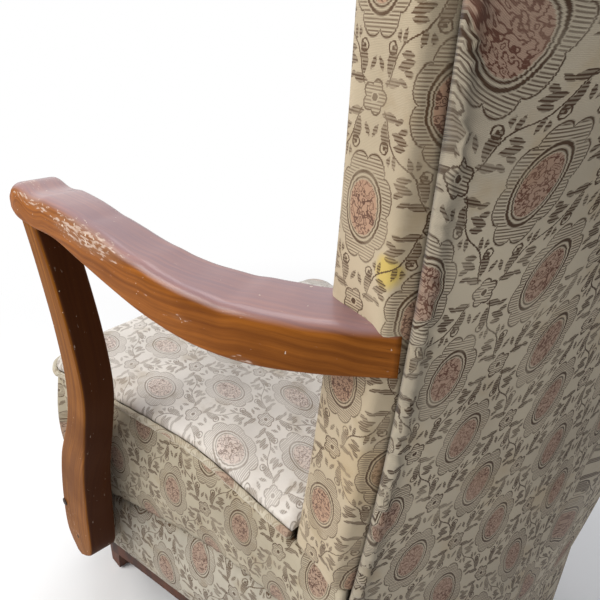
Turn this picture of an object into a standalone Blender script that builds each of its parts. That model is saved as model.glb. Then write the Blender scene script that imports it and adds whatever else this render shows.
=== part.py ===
"""Old upholstered armchair with bent show-wood arms: a sprung seat, a bowed back and a tapered plan.

The chair faces -Y and +X is the sitter's left. Lengths are in metres. Every piece is placed from the
plan of the seat, the lean of the back and the line of the arm, which the functions below give.
"""

import math

import bmesh
import bpy
from mathutils import Matrix, Vector

# Seat in plan
SEAT_FRONT_HALF = 0.308
SEAT_REAR_HALF = 0.235
SEAT_CORNER_Y = -0.202
SEAT_BOW_Y = -0.237
SEAT_CORNER_R = 0.040
LEAST_CORNER_R = 0.004
SEAT_BACK_Y = 0.310
SEAT_TAPER_POWER = 1.5
FABRIC = 0.012

# Heights, from the floor
RAIL_BOTTOM = 0.125
RAIL_TOP = 0.232
LIP_BOTTOM = 0.064
BAND_BOTTOM = 0.100
BAND_TOP = 0.235
BORDER_BOTTOM = 0.2355
BORDER_REAR_TOP = 0.388
LEDGE_RISE = 0.012
WELT_HEIGHT = 0.430
WELT_SAG = 0.030
SAG_FROM_Y = 0.10
SLUMP = 0.035
SLUMP_FROM_X = 0.15
SLUMP_TO_X = -0.25
WELT_R = 0.005
WELT_OUT = 0.002
TOP_CROWN = 0.012
STUFFING_DROP = 0.0013
BACK_TOP = 1.035
BACK_CAP = 0.024
PAD_GAP = 0.0024
PAD_BOTTOM = WELT_HEIGHT - WELT_SAG + WELT_R + TOP_CROWN + PAD_GAP
BACK_RAIL_BOTTOM = 0.400
BACK_RAIL_TOP = 0.440
TOP_RAIL_DROP = 0.004
TOP_RAIL_DEEP = 0.0475

# Back in section and plan
SEAM_Y = 0.440
SEAM_LEAN = 0.045
LEAN_FROM = 1.000
LEAN_TO = 0.350
LEAN_POWER = 2.2
BACK_HALF = 0.235
BACK_DEPTH = 0.100
BACK_BOW = 0.132
BOW_POWER = 2.5
RIDGE_OUT = 0.010
RIDGE_AT = 0.074
FRONT_EDGE_IN = 0.008
PANEL_WALL = 0.004
HOLLOW = 0.010
HOLLOW_FROM = 0.45
HOLLOW_TO = 0.95
PAD_CROWN = 0.014
BORDER_WALL = 0.022

# Frame timber
TIMBER = 0.025
UPRIGHT_X = 0.030
UPRIGHT_Y = 0.040
UPRIGHT_CLEAR = 0.005
UPRIGHT_CENTRE_X = BACK_HALF - BORDER_WALL - UPRIGHT_CLEAR - UPRIGHT_X / 2
LEG_TOP = 0.045
LEG_FOOT = 0.028
FRONT_LEG_X = SEAT_FRONT_HALF - 0.054
FRONT_LEG_Y = SEAT_CORNER_Y + 0.075
LEG_SPLAY = 0.010
REAR_LEG_KICK = 0.030
FRONT_RAIL_REAR = SEAT_CORNER_Y + 0.058
LIP_IN = 0.006
LIP_THICK = 0.012
BLOCK_SIDE = 0.070
BLOCK_INSET = 0.012
GLIDE_R = 0.010
GLIDE_HEIGHT = 0.004
WEB_WIDTH = 0.050
WEB_THICK = 0.002
WEB_LAP = 0.020
WEB_PITCH = 0.084
BACK_WEBS = (0.135, 0.336, 0.538, 0.739)
CLOTH = 0.0015
SEAT_HESSIAN_Z = 0.352
SEAT_HESSIAN_INSET = 0.016
CLOTH_MARGIN = 0.004
SPRING_WIRE_R = 0.0018
SPRING_END_R = 0.040
SPRING_WAIST_R = 0.028
SPRING_TURNS = 6
SPRING_PITCH = 0.115
SPRING_EDGE = 0.068

# Post and arm
POST_INNER_X = SEAT_FRONT_HALF + 0.0005
POST_THICK = 0.044
POST_BOTTOM = 0.128
ARM_WIDTH = 0.060
ARM_EDGE_R = 0.012
SCREW_R = 0.0030
SCREW_HEAD_R = 0.0065
SCREW_HEAD = 0.0025
SCREW_LENGTH = 0.085
SCREW_Y = -0.112
SCREW_Z = 0.222
EMPTY_HOLE_Y = -0.082
EMPTY_HOLE_Z = 0.167
EMPTY_HOLE_DEEP = 0.030

# Clearances
TOUCH = 0.0003
SIDE_GAP = 0.0004
SCREW_GAP = 0.0002
WEB_GAP = 0.0006

CHAIR = bpy.data.collections.new("armchair")
TOOLS = bpy.data.collections.new("cutters")


def clear_scene():
    for obj in list(bpy.data.objects):
        bpy.data.objects.remove(obj, do_unlink=True)
    for group in (CHAIR, TOOLS):
        bpy.context.scene.collection.children.link(group)


def finish(name, colour, roughness, metallic=0.0):
    """A plain Principled material."""
    material = bpy.data.materials.new(name)
    material.use_nodes = True
    shader = material.node_tree.nodes["Principled BSDF"]
    shader.inputs["Base Color"].default_value = (*colour, 1.0)
    shader.inputs["Roughness"].default_value = roughness
    shader.inputs["Metallic"].default_value = metallic
    return material


def add(name, data, look, tool=False):
    obj = bpy.data.objects.new(name, data)
    (TOOLS if tool else CHAIR).objects.link(obj)
    if tool:
        obj.hide_render = True
        obj.display_type = "WIRE"
    else:
        data.materials.append(finish(name, *look))
    return obj


def loft(name, rings, look, wrap=False, tool=False):
    """Joins equal rings of points with quads. Rungs across each end ring cap it, unless wrap joins the ends."""
    mesh = bpy.data.meshes.new(name)
    bm = bmesh.new()
    rows = [[bm.verts.new(point) for point in ring] for ring in rings]
    pairs = list(zip(rows, rows[1:]))
    if wrap:
        pairs.append((rows[-1], rows[0]))
    for low, high in pairs:
        for k in range(len(low)):
            after = (k + 1) % len(low)
            bm.faces.new((low[k], low[after], high[after], high[k]))
    for ring in () if wrap else (rows[0], rows[-1]):
        for k in range((len(ring) - 1) // 2):
            corners = [ring[k], ring[k + 1], ring[-2 - k], ring[-1 - k]]
            bm.faces.new(corners if corners[1] != corners[2] else corners[:2] + corners[3:])
    bmesh.ops.triangulate(bm, faces=bm.faces[:])
    bmesh.ops.recalc_face_normals(bm, faces=bm.faces[:])
    bm.to_mesh(mesh)
    bm.free()
    return add(name, mesh, look, tool)


def slab(name, outline, low, high, look):
    """A flat outline in plan, carried up from one height to another."""
    return loft(name, [[(x, y, z) for x, y in outline] for z in (low, high)], look)


def block(name, size, centre, look, bevel=0.0):
    mesh = bpy.data.meshes.new(name)
    bm = bmesh.new()
    bmesh.ops.create_cube(bm, size=1.0, matrix=Matrix.Diagonal((*size, 1.0)))
    bm.to_mesh(mesh)
    bm.free()
    obj = add(name, mesh, look)
    obj.location = centre
    if bevel:
        edge = obj.modifiers.new("edge", "BEVEL")
        edge.width = bevel
        edge.segments = 2
    return obj


def rod(name, points, radius, look, sides=6, closed=False):
    """A round rod along points, as a curve with filled ends."""
    curve = bpy.data.curves.new(name, "CURVE")
    curve.dimensions = "3D"
    curve.bevel_depth = radius
    curve.bevel_resolution = (sides - 4) // 2
    curve.use_fill_caps = not closed
    line = curve.splines.new("POLY")
    line.points.add(len(points) - 1)
    for point, place in zip(line.points, points):
        point.co = (*place, 1.0)
    line.use_cyclic_u = closed
    return add(name, curve, look)


def smooth(t):
    t = min(max(t, 0.0), 1.0)
    return t * t * (3.0 - 2.0 * t)


def along(start, end, count):
    return [start + (end - start) * k / (count - 1) for k in range(count)]


def through(knots, t):
    """A smooth value at t, 0 to 1, through evenly spaced knots (a Catmull-Rom curve)."""
    last = len(knots) - 1
    k = min(int(t * last), last - 1)
    u = t * last - k
    before, here, after, beyond = (knots[min(max(k + d, 0), last)] for d in (-1, 0, 1, 2))
    return 0.5 * (
        2 * here
        + (after - before) * u
        + (2 * before - 5 * here + 4 * after - beyond) * u**2
        + (3 * here - before - 3 * after + beyond) * u**3
    )


def seat_half(y):
    """Half the seat's width: wide at the front corners, drawn in toward the back."""
    share = (SEAT_BACK_Y - y) / (SEAT_BACK_Y - SEAT_CORNER_Y - SEAT_CORNER_R)
    share = min(max(share, 0.0), 1.0)
    return SEAT_REAR_HALF + (SEAT_FRONT_HALF - SEAT_REAR_HALF) * share**SEAT_TAPER_POWER


def welt_z(x, y):
    """The seat's top edge, which has sunk toward the back and toward the sitter's right."""
    back = smooth((y - SAG_FROM_Y) / (SEAT_BACK_Y - SAG_FROM_Y))
    side = smooth((SLUMP_FROM_X - x) / (SLUMP_FROM_X - SLUMP_TO_X))
    return WELT_HEIGHT - WELT_SAG * back - SLUMP * side * (1.0 - back)


def bowed_front(x):
    """The front edge of the seat in plan, between its rounded corners."""
    return SEAT_BOW_Y + (SEAT_CORNER_Y - SEAT_BOW_Y) * (x / (SEAT_FRONT_HALF - SEAT_CORNER_R)) ** 2


def seat_line(rear_y, inset=0.0, ledge=False):
    """Points in plan round the seat's left side, bowed front and right side, moved in by inset.

    A ledge adds the points where the back's side border stands on the seat's side.
    """
    reach = max(SEAT_CORNER_R, inset + LEAST_CORNER_R)
    side_end = SEAT_CORNER_Y + reach
    if ledge:
        bend = back_foot()
        rows = [rear_y, (rear_y + bend) / 2, bend]
        rows += along(bend - LEDGE_RISE, side_end, 11)
    else:
        rows = along(rear_y, side_end, 12)
    side = [(seat_half(y) - inset, y) for y in rows]
    radius = reach - inset
    middle = (seat_half(side_end) - reach, side_end)
    corner = [
        (middle[0] + radius * math.cos(a), middle[1] - radius * math.sin(a))
        for a in along(math.radians(18), math.radians(90), 5)
    ]
    front = [(x, bowed_front(x) + inset) for x in along(middle[0], 0.0, 6)[1:]]
    left = side + corner + front
    return left + [(-x, y) for x, y in left[-2::-1]]


def seam_y(z):
    """Where the outside back is sewn to the side border: the lean of the whole back."""
    share = min(max((LEAN_FROM - z) / (LEAN_FROM - LEAN_TO), 0.0), 1.0)
    return SEAM_Y - SEAM_LEAN * share**LEAN_POWER


def back_foot():
    """The front of the back's side border where it stands on the seat's side."""
    return seam_y(BORDER_REAR_TOP) - BACK_DEPTH - SIDE_GAP


def back_front(z):
    """The front edge of the back, a little hollow where the shoulders rest."""
    share = min(max((z - HOLLOW_FROM) / (HOLLOW_TO - HOLLOW_FROM), 0.0), 1.0)
    return seam_y(z) - BACK_DEPTH + HOLLOW * math.sin(math.pi * share)


def band_end():
    """The rear end of the seat's side fabric, just inside the outside back."""
    return seam_y(BAND_TOP) - PANEL_WALL - SIDE_GAP


def bow(x):
    """How far the outside back stands behind its side seams."""
    return BACK_BOW * (1.0 - min(abs(x) / BACK_HALF, 1.0) ** BOW_POWER)


def side_outline(z, side, gap=0.0):
    """The back's side border in plan at one height: front edge, ridge, rear seam and inner face."""
    front = back_front(z)
    rear = seam_y(z) - PANEL_WALL - SIDE_GAP
    points = [
        (BACK_HALF - FRONT_EDGE_IN + gap, front - gap),
        (BACK_HALF + 0.4 * RIDGE_OUT + gap, front + 0.5 * RIDGE_AT),
        (BACK_HALF + RIDGE_OUT + gap, front + RIDGE_AT),
        (BACK_HALF + gap, rear + gap),
        (BACK_HALF - BORDER_WALL, rear + gap),
        (BACK_HALF - BORDER_WALL, front - gap),
    ]
    return [(side * x, y, z) for x, y in points]


def drill(name, pieces, mouth, length, side):
    """Drills one straight hole inward along X through some pieces. Its cutter stays as a wire helper."""
    mesh = bpy.data.meshes.new(name)
    bm = bmesh.new()
    radius = SCREW_R + SCREW_GAP
    bmesh.ops.create_cone(bm, cap_ends=True, segments=16, radius1=radius, radius2=radius, depth=2 * length)
    bm.to_mesh(mesh)
    bm.free()
    cutter = add(name, mesh, None, tool=True)
    cutter.location = (side * mouth[0], mouth[1], mouth[2])
    cutter.rotation_euler = (0, math.radians(90), 0)
    for obj in pieces:
        cut = obj.modifiers.new(name, "BOOLEAN")
        cut.operation = "DIFFERENCE"
        cut.object = cutter


SHOW_WOOD = ((0.36, 0.15, 0.045), 0.35)
DARK_WOOD = ((0.06, 0.022, 0.010), 0.5)
FRAME_WOOD = ((0.50, 0.36, 0.21), 0.8)
JACQUARD = ((0.62, 0.56, 0.45), 0.9)
HESSIAN = ((0.42, 0.31, 0.18), 0.95)
STUFFING = ((0.50, 0.44, 0.33), 1.0)
WEBBING = ((0.30, 0.22, 0.13), 0.9)
BLACK_CLOTH = ((0.03, 0.03, 0.03), 0.95)
STEEL = ((0.30, 0.28, 0.26), 0.45, 1.0)
SCREW_STEEL = ((0.10, 0.08, 0.07), 0.5, 1.0)
SIDES = (("left", 1), ("right", -1))


def rail_outer(y):
    """The side rail's outer face: a straight line in plan from the front leg to just past the upright."""
    start = (FRONT_LEG_X + LEG_TOP / 2, FRONT_LEG_Y + LEG_TOP / 2)
    end = (UPRIGHT_CENTRE_X + UPRIGHT_X / 2 + UPRIGHT_CLEAR, band_end())
    return start[0] + (end[0] - start[0]) * (y - start[1]) / (end[1] - start[1])


def upright_y(z):
    """The upright's middle, which kicks back below the seat as a rear leg."""
    kick = REAR_LEG_KICK * smooth((RAIL_BOTTOM - z) / RAIL_BOTTOM) if z < RAIL_BOTTOM else 0.0
    return seam_y(z) - 0.036 + kick


def make_frame():
    """The hidden beech frame, the legs and their glides."""
    front_leg_rear = FRONT_LEG_Y + LEG_TOP / 2 + TOUCH
    upright_front = upright_y(RAIL_BOTTOM) - UPRIGHT_Y / 2 - TOUCH
    for word, side in SIDES:
        leg = []
        for z in (GLIDE_HEIGHT + TOUCH, 0.30 * RAIL_BOTTOM, 0.92 * RAIL_BOTTOM, RAIL_TOP):
            share = smooth(z / RAIL_BOTTOM)
            half = 0.5 * (LEG_FOOT + (LEG_TOP - LEG_FOOT) * share)
            out = LEG_SPLAY * (1 - share)
            x, y = FRONT_LEG_X + out, FRONT_LEG_Y
            square = [(x - half, y - half), (x + half, y - half), (x + half, y + half), (x - half, y + half)]
            leg.append([(side * a, b, z) for a, b in square])
        loft("front_leg_" + word, leg, DARK_WOOD)

        rings = []
        for y in along(front_leg_rear, upright_front, 9):
            face, shown = rail_outer(y), seat_half(y) - LIP_IN
            section = [
                (face - TIMBER, RAIL_TOP), (face, RAIL_TOP), (face, BAND_BOTTOM - TOUCH),
                (shown, BAND_BOTTOM - TOUCH), (shown, LIP_BOTTOM), (face - LIP_THICK, LIP_BOTTOM),
                (face - LIP_THICK, RAIL_BOTTOM), (face - TIMBER, RAIL_BOTTOM),
            ]
            rings.append([(side * x, y, z) for x, z in section])
        loft("side_rail_" + word, rings, DARK_WOOD)

        upright = []
        foot = GLIDE_HEIGHT + TOUCH
        upright_top = BACK_TOP - TOP_RAIL_DROP - TOP_RAIL_DEEP - TOUCH
        heights = along(foot, RAIL_BOTTOM, 6) + [RAIL_TOP] + along(BACK_RAIL_BOTTOM - 0.020, upright_top, 10)
        for z in heights:
            y = upright_y(z)
            taper = 0.5 * (1 - 0.25 * smooth((RAIL_BOTTOM - z) / RAIL_BOTTOM))
            dx, dy = UPRIGHT_X * taper, UPRIGHT_Y * taper
            square = [(-dx, -dy), (dx, -dy), (dx, dy), (-dx, dy)]
            upright.append([(side * (UPRIGHT_CENTRE_X + a), y + b, z) for a, b in square])
        loft("back_upright_" + word, upright, FRAME_WOOD)

        for where, x, y in (
            ("front", FRONT_LEG_X + LEG_SPLAY, FRONT_LEG_Y),
            ("rear", UPRIGHT_CENTRE_X, upright_y(foot)),
        ):
            mesh = bpy.data.meshes.new("glide")
            bm = bmesh.new()
            bmesh.ops.create_cone(
                bm, cap_ends=True, segments=16, radius1=0.8 * GLIDE_R, radius2=GLIDE_R, depth=GLIDE_HEIGHT
            )
            bm.to_mesh(mesh)
            bm.free()
            glide = add(f"{where}_glide_{word}", mesh, STEEL)
            glide.location = (side * x, y, GLIDE_HEIGHT / 2)

        inner = FRONT_LEG_X - LEG_TOP / 2 - TOUCH
        rear = FRONT_RAIL_REAR + TOUCH
        corner = [(inner, rear), (inner, rear + BLOCK_SIDE), (inner - BLOCK_SIDE, rear)]
        low, high = RAIL_BOTTOM + BLOCK_INSET, RAIL_TOP - BLOCK_INSET
        slab("corner_block_" + word, [(side * x, y) for x, y in corner], low, high, FRAME_WOOD)

    half = FRONT_LEG_X - LEG_TOP / 2 - TOUCH
    rings = []
    for x in along(-half, half, 9):
        face = bowed_front(x) + FABRIC + TOUCH
        shown = bowed_front(x) + LIP_IN
        section = [
            (FRONT_RAIL_REAR, RAIL_TOP), (face, RAIL_TOP), (face, BAND_BOTTOM - TOUCH),
            (shown, BAND_BOTTOM - TOUCH), (shown, LIP_BOTTOM), (face + LIP_THICK, LIP_BOTTOM),
            (face + LIP_THICK, RAIL_BOTTOM), (FRONT_RAIL_REAR, RAIL_BOTTOM),
        ]
        rings.append([(x, y, z) for y, z in section])
    loft("front_rail", rings, DARK_WOOD)

    half = UPRIGHT_CENTRE_X - UPRIGHT_X / 2 - TOUCH
    for name, low, high in (
        ("rear_rail", RAIL_BOTTOM, RAIL_TOP),
        ("back_lower_rail", BACK_RAIL_BOTTOM, BACK_RAIL_TOP),
    ):
        rings = []
        for z in (low, high):
            inner_y = upright_y(z) - UPRIGHT_Y / 2
            outer = [(x, seam_y(z) - PANEL_WALL - SIDE_GAP + bow(x) - 0.001) for x in along(half, -half, 9)]
            rings.append([(x, y, z) for x, y in [(-half, inner_y), (half, inner_y)] + outer])
        loft(name, rings, FRAME_WOOD)
    rings = []
    half = BACK_HALF - BORDER_WALL - TOUCH
    for z in (BACK_TOP - TOP_RAIL_DROP - TOP_RAIL_DEEP, BACK_TOP - TOP_RAIL_DROP):
        inner_y = upright_y(z) - UPRIGHT_Y / 2
        outer = [(x, seam_y(z) - PANEL_WALL - SIDE_GAP + bow(x) - 0.001) for x in along(half, -half, 9)]
        rings.append([(x, y, z) for x, y in [(-half, inner_y), (half, inner_y)] + outer])
    loft("back_top_rail", rings, FRAME_WOOD)


def make_springing():
    """Webbing under the rails, nine waisted springs on it, and hessian over them."""
    strap_top = RAIL_BOTTOM - TOUCH
    front, rear = FRONT_RAIL_REAR - WEB_LAP, upright_y(RAIL_BOTTOM) + WEB_LAP
    for k in range(4):
        x = (k - 1.5) * WEB_PITCH
        size = (WEB_WIDTH, rear - front, WEB_THICK)
        block(f"seat_web_long_{k + 1}", size, (x, (front + rear) / 2, strap_top - WEB_THICK / 2), WEBBING)
    across_top = strap_top - WEB_THICK - TOUCH
    rows = along(FRONT_RAIL_REAR + SPRING_EDGE, back_foot() - SPRING_EDGE, 3)
    for k, y in enumerate(rows):
        half = rail_outer(y) - LIP_THICK - CLOTH_MARGIN
        size = (2 * half, WEB_WIDTH, WEB_THICK)
        block(f"seat_web_cross_{k + 1}", size, (0, y, across_top - WEB_THICK / 2), WEBBING)

    foot = strap_top + TOUCH + SPRING_WIRE_R
    head = SEAT_HESSIAN_Z - TOUCH - SPRING_WIRE_R
    number = 0
    for y in rows:
        for x in (-SPRING_PITCH, 0.0, SPRING_PITCH):
            number += 1
            points = []
            for k in range(SPRING_TURNS * 8 + 1):
                share = k / (SPRING_TURNS * 8)
                radius = SPRING_WAIST_R + (SPRING_END_R - SPRING_WAIST_R) * (2 * share - 1) ** 2
                angle = 2 * math.pi * k / 8
                height = foot + (head - foot) * smooth(share)
                points.append((x + radius * math.cos(angle), y + radius * math.sin(angle), height))
            rod(f"seat_spring_{number}", points, SPRING_WIRE_R, STEEL)

    line = seat_line(back_foot() - SIDE_GAP, SEAT_HESSIAN_INSET)
    slab("seat_hessian", line, SEAT_HESSIAN_Z, SEAT_HESSIAN_Z + CLOTH, HESSIAN)


def seat_shell(rear_y, levels):
    """Rings round the seat at (inset, height above the welt line, fixed height or None)."""
    rings = []
    for inset, rise, height in levels:
        line = seat_line(rear_y - inset, inset)
        rings.append([(x, y, height if height is not None else welt_z(x, y) + rise) for x, y in line])
    return rings


def make_seat():
    """Stuffing, top, welt, border and the lower band that covers the rails."""
    rear = back_foot() - SIDE_GAP
    above = WELT_R + SIDE_GAP
    stuffing = [
        (0.014, 0, SEAT_HESSIAN_Z + CLOTH + TOUCH),
        (0.014, above - STUFFING_DROP, None),
        (0.060, above - STUFFING_DROP, None),
        (0.120, above - STUFFING_DROP, None),
    ]
    loft("seat_stuffing", seat_shell(rear, stuffing), STUFFING)
    top = [
        (0.120, above, None),
        (0.060, above, None),
        (0.004, above, None),
        (0.001, above + 0.45 * TOP_CROWN, None),
        (0.020, above + 0.85 * TOP_CROWN, None),
        (0.060, above + TOP_CROWN, None),
        (0.120, above + 0.9 * TOP_CROWN, None),
    ]
    loft("seat_top", seat_shell(rear, top), JACQUARD)

    welt = [(x, y, welt_z(x, y)) for x, y in seat_line(rear, -WELT_OUT)]
    rod("seat_welt", welt, WELT_R - 0.0002, JACQUARD, sides=6)

    rings = []
    rear = band_end()
    for outer, inner in zip(seat_line(rear, 0.0, True), seat_line(rear, FABRIC, True)):
        front_top = welt_z(*outer) - WELT_R - SIDE_GAP
        top_z = front_top if outer[1] < back_foot() - 0.005 else BORDER_REAR_TOP
        rings.append([
            (*outer, BORDER_BOTTOM),
            (*outer, top_z),
            (*inner, top_z),
            (*inner, BORDER_BOTTOM),
        ])
    loft("seat_border", rings, JACQUARD)

    rings = []
    for outer in seat_line(rear):
        x, y = outer
        if y > FRONT_RAIL_REAR:
            inner = (math.copysign(rail_outer(y) + TOUCH, x), y)
        else:
            inner = None
        rings.append((outer, inner))
    solid = []
    for outer, inner in rings:
        if inner is None:
            x, y = outer
            length = FABRIC
            half = SEAT_FRONT_HALF - SEAT_CORNER_R
            if abs(x) > half:
                away = Vector((abs(x) - half, y - SEAT_CORNER_Y - SEAT_CORNER_R)).normalized() * length
                inner = (math.copysign(abs(x) - away.x, x), y - away.y)
            else:
                inner = (x, y + length)
        solid.append([
            (*outer, BAND_BOTTOM),
            (*outer, BAND_TOP),
            (*inner, BAND_TOP),
            (*inner, BAND_BOTTOM),
        ])
    loft("seat_lower_band", solid, JACQUARD)

    between_legs = FRONT_LEG_X - LEG_TOP / 2 - CLOTH_MARGIN
    past_legs = FRONT_LEG_Y + LEG_TOP / 2 + CLOTH_MARGIN
    at_rear = upright_y(RAIL_BOTTOM) - UPRIGHT_Y / 2 - CLOTH_MARGIN
    right = [
        (between_legs, FRONT_RAIL_REAR - TIMBER),
        (between_legs, past_legs),
        (rail_outer(past_legs) - LIP_THICK - CLOTH_MARGIN, past_legs),
        (rail_outer(at_rear) - LIP_THICK - CLOTH_MARGIN, at_rear),
    ]
    cloth = right + [(-x, y) for x, y in reversed(right)]
    z = RAIL_BOTTOM - 2 * WEB_THICK - 3 * TOUCH
    slab("base_cloth", cloth, z - CLOTH, z, BLACK_CLOTH)


def make_back():
    """Side borders, inside back, its webbing and stuffing, the bowed outside back and the top."""
    heights = along(BORDER_REAR_TOP + SIDE_GAP, BACK_TOP, 12)
    for word, side in SIDES:
        loft("back_side_border_" + word, [side_outline(z, side) for z in heights], JACQUARD)

    rings = []
    columns = along(-BACK_HALF, BACK_HALF, 17)
    for z in along(BAND_BOTTOM, BACK_TOP, 13):
        outer = [(x, seam_y(z) + bow(x), z) for x in columns]
        inner = [(x, y - PANEL_WALL, h) for x, y, h in reversed(outer)]
        rings.append(outer + inner)
    loft("outside_back", rings, JACQUARD)

    half = BACK_HALF - BORDER_WALL - TOUCH
    rings = []
    for z in along(PAD_BOTTOM, BACK_TOP, 9):
        front = back_front(z)
        crown = [
            (x, front - PAD_CROWN * (1 - (x / half) ** 4) * smooth(min(z - PAD_BOTTOM, BACK_TOP - z) / 0.06 + 0.3), z)
            for x in along(-half, half, 9)
        ]
        back = upright_y(z) - UPRIGHT_Y / 2 - 3 * WEB_GAP - WEB_THICK - CLOTH
        rings.append(crown + [(half, back, z), (-half, back, z)])
    loft("inside_back", rings, JACQUARD)

    for k, share in enumerate(BACK_WEBS):
        z = BACK_RAIL_TOP + share * (BACK_TOP - BACK_RAIL_TOP)
        rings = []
        for height in (z - WEB_WIDTH / 2, z + WEB_WIDTH / 2):
            rear = upright_y(height) - UPRIGHT_Y / 2 - WEB_GAP
            corners = [(-half, rear), (-half, rear - WEB_THICK), (half, rear - WEB_THICK), (half, rear)]
            rings.append([(x, y, height) for x, y in corners])
        loft(f"back_web_{k + 1}", rings, WEBBING)
    rings = []
    for z in along(PAD_BOTTOM, BACK_TOP - TOP_RAIL_DROP, 9):
        rear = upright_y(z) - UPRIGHT_Y / 2 - 2 * WEB_GAP - WEB_THICK
        corners = [(-half, rear), (-half, rear - CLOTH), (half, rear - CLOTH), (half, rear)]
        rings.append([(x, y, z) for x, y in corners])
    loft("back_hessian", rings, HESSIAN)

    z = BACK_TOP + TOUCH
    front = back_front(z)
    base = [(x, seam_y(z) + bow(x)) for x in along(BACK_HALF, -BACK_HALF, 13)]
    base += [(-BACK_HALF - RIDGE_OUT, front + RIDGE_AT), (-BACK_HALF + FRONT_EDGE_IN, front)]
    base += [(x, front - 0.6 * PAD_CROWN) for x in (-0.6 * BACK_HALF, 0.6 * BACK_HALF)]
    base += [(BACK_HALF - FRONT_EDGE_IN, front), (BACK_HALF + RIDGE_OUT, front + RIDGE_AT)]
    middle_y = seam_y(z)
    rings = []
    for rise, shrink in ((0, 1.0), (0.5, 0.99), (0.85, 0.95), (1.0, 0.87)):
        rings.append([
            (x * shrink, middle_y + (y - middle_y) * shrink, z + BACK_CAP * rise) for x, y in base
        ])
    loft("back_top_border", rings, JACQUARD)


# Knots of the arm from its rear end to its nose: middle of the top face, and depth below it
ARM_X = (0.165, 0.212, 0.252, 0.282, 0.303, 0.316, 0.322, 0.325, 0.325, 0.325, 0.325, 0.325)
ARM_Y = (0.452, 0.402, 0.352, 0.302, 0.250, 0.192, 0.130, 0.072, 0.015, -0.040, -0.086, -0.119)
ARM_Z = (0.731, 0.731, 0.731, 0.732, 0.735, 0.742, 0.751, 0.759, 0.763, 0.758, 0.761, 0.744)
ARM_DEEP = (0.048, 0.048, 0.050, 0.053, 0.055, 0.055, 0.053, 0.050, 0.046, 0.043, 0.046, 0.026)
ARM_WIDE = (1.10, 1.12, 1.20, 1.20, 1.05, 0.92, 0.88, 0.87, 0.90, 0.94, 0.93, 0.76)
ARM_STEPS = 34


def arm_section(t, side):
    """A rounded section of the arm, square to its line in plan."""
    ahead, behind = min(t + 0.01, 1.0), max(t - 0.01, 0.0)
    line = Vector((
        through(ARM_X, ahead) - through(ARM_X, behind),
        through(ARM_Y, ahead) - through(ARM_Y, behind),
    )).normalized()
    out = Vector((-line.y, line.x))
    if out.x < 0:
        out = -out
    half = 0.5 * ARM_WIDTH * through(ARM_WIDE, t)
    deep = through(ARM_DEEP, t)
    edge = min(ARM_EDGE_R, 0.45 * deep)
    shape = [
        (-half, -edge), (-half + 0.3 * edge, -0.3 * edge), (-half + edge, 0.0),
        (half - edge, 0.0), (half - 0.3 * edge, -0.3 * edge), (half, -edge),
        (half - 0.001, -deep + 0.5 * edge), (half - 0.5 * edge, -deep),
        (-half + 0.5 * edge, -deep), (-half + 0.001, -deep + 0.5 * edge),
    ]
    x, y, z = (through(knots, t) for knots in (ARM_X, ARM_Y, ARM_Z))
    return [(side * (x + out.x * a), y + out.y * a, z + b) for a, b in shape]


# Knots of the post from its foot to its head: height, front edge and rear edge
POST_Z = (0.000, 0.035, 0.120, 0.210, 0.300, 0.375, 0.450, 0.530, 0.585)
POST_FRONT = (-0.095, -0.122, -0.114, -0.088, -0.040, -0.020, -0.028, -0.052, -0.074)
POST_REAR = (-0.075, -0.038, -0.028, -0.014, 0.014, 0.032, 0.022, -0.006, -0.034)
POST_STEPS = 18


def make_arms():
    """Each arm and its post, shaped by hand from thick boards, with the screws to the side rail."""
    over_post = [point for t in along(0.80, 1.0, 41) for point in arm_section(t, 1)]
    head = min(z for _, y, z in over_post if POST_FRONT[-1] < y < POST_REAR[-1])
    tall = head - TOUCH - POST_BOTTOM
    for word, side in SIDES:
        arm = loft("arm_" + word, [arm_section(t, side) for t in along(0.0, 1.0, ARM_STEPS)], SHOW_WOOD)
        rings = [side_outline(z, side, SIDE_GAP) for z in (0.62, 0.86)]
        for ring in rings:
            ring[4:] = [(0.05 * side, ring[4][1] + 0.2, ring[4][2]), (0.05 * side, ring[5][1] - 0.05, ring[5][2])]
            ring[3] = (ring[3][0], ring[3][1] + 0.2, ring[3][2])
        back = loft(arm.name + "_trim", rings, None, tool=True)
        cut = arm.modifiers.new("meet_back", "BOOLEAN")
        cut.operation = "DIFFERENCE"
        cut.object = back

        rings = []
        for t in along(0.0, 1.0, POST_STEPS):
            z = POST_BOTTOM + tall * through(POST_Z, t) / POST_Z[-1]
            front, rear = through(POST_FRONT, t), through(POST_REAR, t)
            inner, outer = POST_INNER_X, POST_INNER_X + POST_THICK
            soft = 0.004
            shape = [
                (inner, rear), (inner, front + soft), (inner + soft, front),
                (outer - soft, front), (outer, front + soft), (outer, rear - soft), (outer - soft, rear),
            ]
            rings.append([(side * x, y, z) for x, y in shape])
        post = loft("arm_post_" + word, rings, SHOW_WOOD)

        face = POST_INNER_X + POST_THICK
        held = [post, bpy.data.objects["seat_lower_band"], bpy.data.objects["front_leg_" + word]]
        drill("screw_hole_" + word, held, (face, SCREW_Y, SCREW_Z), SCREW_LENGTH + SCREW_GAP, side)
        empty = (face, EMPTY_HOLE_Y, EMPTY_HOLE_Z)
        drill("empty_hole_" + word, [post], empty, EMPTY_HOLE_DEEP, side)
        profile = [
            (-SCREW_LENGTH, SCREW_R), (TOUCH, SCREW_R), (TOUCH, SCREW_HEAD_R),
            (0.6 * SCREW_HEAD, SCREW_HEAD_R), (SCREW_HEAD, 0.6 * SCREW_HEAD_R),
        ]
        turns = [2 * math.pi * k / 12 for k in range(12)]
        rings = [
            [(side * (face + x), SCREW_Y + r * math.cos(a), SCREW_Z + r * math.sin(a)) for a in turns]
            for x, r in profile
        ]
        loft("post_screw_" + word, rings, SCREW_STEEL)


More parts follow.
